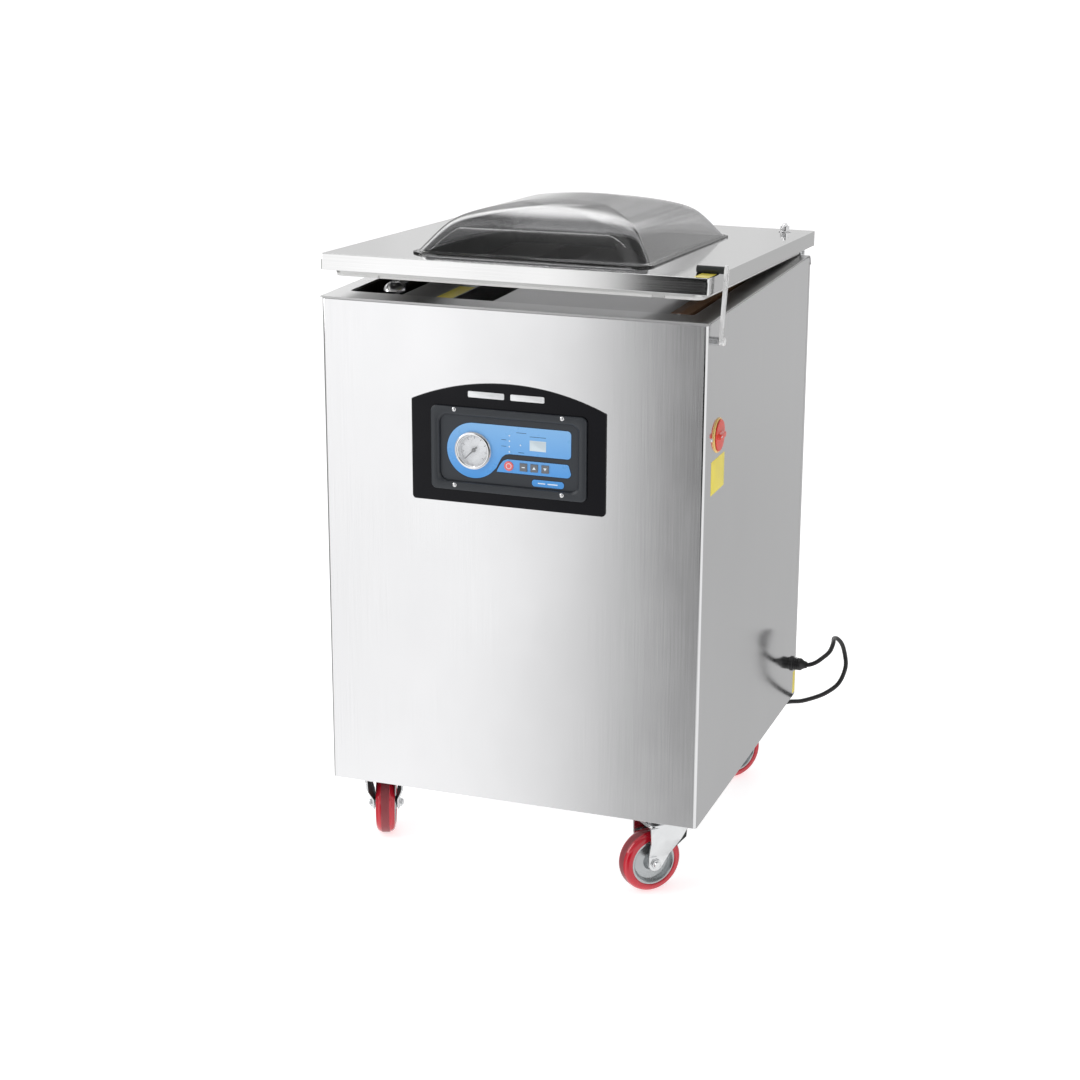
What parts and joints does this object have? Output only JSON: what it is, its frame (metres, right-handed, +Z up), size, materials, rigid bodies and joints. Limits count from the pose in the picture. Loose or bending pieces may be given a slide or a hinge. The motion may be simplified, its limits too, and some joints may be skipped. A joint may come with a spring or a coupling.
{
  "type": "chamber vacuum sealer",
  "caption": "Floor-standing chamber vacuum sealer: stainless cabinet on swivel casters, hinged lid with a clear dome, arched control panel with gauge and keys.",
  "frame": {"origin": "centre of the object's box, on the floor under the casters", "axes": "+Z up, the front faces -Y, +X to the right seen from the front"},
  "size_m": [0.6923, 0.7852, 1.0481],
  "materials": {
    "steel_brushed": "brushed",
    "steel_deck": "satin",
    "lid_steel": "fine brushed",
    "chrome": "polished",
    "zinc": "bright zinc",
    "dark_pad": "matte",
    "black_gloss": "gloss",
    "frame_grey": "satin",
    "overlay_grey": "satin print",
    "display": "tinted window",
    "gauge_white": "enamel",
    "clear_glass": "clear",
    "needle_black": "satin",
    "key_red": "gloss",
    "key_grey": "satin",
    "board_green": "lacquered",
    "switch_yellow": "satin",
    "switch_red": "satin",
    "pump_paint": "painted",
    "motor_paint": "painted",
    "filter_white": "painted",
    "hose_black": "ribbed",
    "copper_core": "wound",
    "cord_black": "satin",
    "under_plate": "satin",
    "gasket_white": "satin",
    "dome_smoke": "clear smoked acrylic",
    "pad_white": "matte",
    "arm_steel": "polished",
    "bar_alu": "machined",
    "bar_dark": "anodised",
    "plate_white": "satin",
    "hub_grey": "satin",
    "tread_red": "gloss polyurethane",
    "dark_tub": "satin"
  },
  "bodies": {
    "cabinet": {"base_pan": "steel_brushed", "cabinet_shell": "steel_brushed", "rear_panel": "steel_brushed", "deck_plate": "steel_deck", "chamber_tub": "dark_tub", "filler_plates": "plate_white", "port_cap": "chrome", "lift_cylinders": "black_gloss", "hinge_brackets": "zinc", "latch_stud": "zinc", "caster_plates": "zinc", "caster_bolts": "zinc", "control_bezel": "black_gloss", "control_frame": "frame_grey", "key_overlay": "overlay_grey", "display_window": "display", "gauge_case": "gauge_white", "gauge_lens": "clear_glass", "frame_screws": "zinc", "control_board": "board_green", "switch_plate": "switch_yellow", "switch_body": "black_gloss", "vacuum_pump": "pump_paint", "pump_motor": "motor_paint", "exhaust_filter": "filter_white", "vacuum_hose": "hose_black", "transformer": "copper_core", "cord_gland": "cord_black", "power_cord": "cord_black", "cord_coil": "cord_black", "plug": "cord_black"},
    "lid": {"lid_frame": "lid_steel", "lid_under_plate": "under_plate", "lid_gasket": "gasket_white", "dome": "dome_smoke", "seal_pads": "pad_white", "hinge_leaves": "zinc", "leaf_bolts": "chrome", "stay_barrel": "dark_pad"},
    "stay_arm": {"stay_arm": "arm_steel"},
    "main_switch": {"switch_knob": "switch_red"},
    "gauge_needle": {"gauge_needle": "needle_black"},
    "start_key": {"start_key": "key_red"},
    "left_key": {"left_key": "key_grey"},
    "middle_key": {"middle_key": "key_grey"},
    "right_key": {"right_key": "key_grey"},
    "left_seal_bar": {"left_seal_bar": "bar_dark"},
    "right_seal_bar": {"right_seal_bar": "bar_alu"},
    "swivel_front_right": {"fork_front_right": "zinc"},
    "wheel_front_right": {"hub_front_right": "hub_grey", "tread_front_right": "tread_red"},
    "swivel_front_left": {"fork_front_left": "zinc"},
    "wheel_front_left": {"hub_front_left": "hub_grey", "tread_front_left": "tread_red"},
    "swivel_rear_right": {"fork_rear_right": "zinc"},
    "wheel_rear_right": {"hub_rear_right": "hub_grey", "tread_rear_right": "tread_red"},
    "swivel_rear_left": {"fork_rear_left": "zinc"},
    "wheel_rear_left": {"hub_rear_left": "hub_grey", "tread_rear_left": "tread_red"}
  },
  "joints": [
    {"name": "lid_hinge", "type": "hinge", "parent": "cabinet", "child": "lid", "pos_m": [-0.01275, 0.3211, 0.916], "axis": [-1, 0, 0], "range_deg": [-2.6, 50]},
    {"name": "stay_swing", "type": "hinge", "parent": "lid", "child": "stay_arm", "pos_m": [0.30225, -0.2689, 0.986], "axis": [1, 0, 0], "range_deg": [-30, 110]},
    {"name": "main_switch_turn", "type": "hinge", "parent": "cabinet", "child": "main_switch", "pos_m": [0.29225, -0.2553, 0.737], "axis": [1, 0, 0], "range_deg": [0, 90]},
    {"name": "gauge_turn", "type": "hinge", "parent": "cabinet", "child": "gauge_needle", "pos_m": [-0.07025, -0.3229, 0.6978], "axis": [0, 1, 0], "range_deg": [0, 270], "stiffness_Nm_per_rad": 0.002},
    {"name": "start_key_press", "type": "slide", "parent": "cabinet", "child": "start_key", "axis": [0, 1, 0], "range_m": [0, 0.0007], "stiffness_N_per_m": 400},
    {"name": "left_key_press", "type": "slide", "parent": "cabinet", "child": "left_key", "axis": [0, 1, 0], "range_m": [0, 0.0007], "stiffness_N_per_m": 400},
    {"name": "middle_key_press", "type": "slide", "parent": "cabinet", "child": "middle_key", "axis": [0, 1, 0], "range_m": [0, 0.0007], "stiffness_N_per_m": 400},
    {"name": "right_key_press", "type": "slide", "parent": "cabinet", "child": "right_key", "axis": [0, 1, 0], "range_m": [0, 0.0007], "stiffness_N_per_m": 400},
    {"name": "left_seal_bar_lift", "type": "slide", "parent": "cabinet", "child": "left_seal_bar", "axis": [0, 0, 1], "range_m": [0, 0.005]},
    {"name": "right_seal_bar_lift", "type": "slide", "parent": "cabinet", "child": "right_seal_bar", "axis": [0, 0, 1], "range_m": [0, 0.005]},
    {"name": "swivel_front_right_turn", "type": "hinge", "parent": "cabinet", "child": "swivel_front_right", "pos_m": [0.23225, -0.2559, 0.113], "axis": [0, 0, 1], "continuous": true},
    {"name": "wheel_front_right_roll", "type": "hinge", "parent": "swivel_front_right", "child": "wheel_front_right", "pos_m": [0.20585, -0.28324, 0.05], "axis": [0.7193, -0.6947, 0], "continuous": true},
    {"name": "swivel_front_left_turn", "type": "hinge", "parent": "cabinet", "child": "swivel_front_left", "pos_m": [-0.25775, -0.2559, 0.113], "axis": [0, 0, 1], "continuous": true},
    {"name": "wheel_front_left_roll", "type": "hinge", "parent": "swivel_front_left", "child": "wheel_front_left", "pos_m": [-0.27137, -0.22042, 0.05], "axis": [-0.9336, -0.3584, 0], "continuous": true},
    {"name": "swivel_rear_right_turn", "type": "hinge", "parent": "cabinet", "child": "swivel_rear_right", "pos_m": [0.23225, 0.2361, 0.113], "axis": [0, 0, 1], "continuous": true},
    {"name": "wheel_rear_right_roll", "type": "hinge", "parent": "swivel_rear_right", "child": "wheel_rear_right", "pos_m": [0.20782, 0.20699, 0.05], "axis": [0.766, -0.6428, 0], "continuous": true},
    {"name": "swivel_rear_left_turn", "type": "hinge", "parent": "cabinet", "child": "swivel_rear_left", "pos_m": [-0.25775, 0.2361, 0.113], "axis": [0, 0, 1], "continuous": true},
    {"name": "wheel_rear_left_roll", "type": "hinge", "parent": "swivel_rear_left", "child": "wheel_rear_left", "pos_m": [-0.23875, 0.26901, 0.05], "axis": [-0.866, 0.5, 0], "continuous": true}
  ]
}
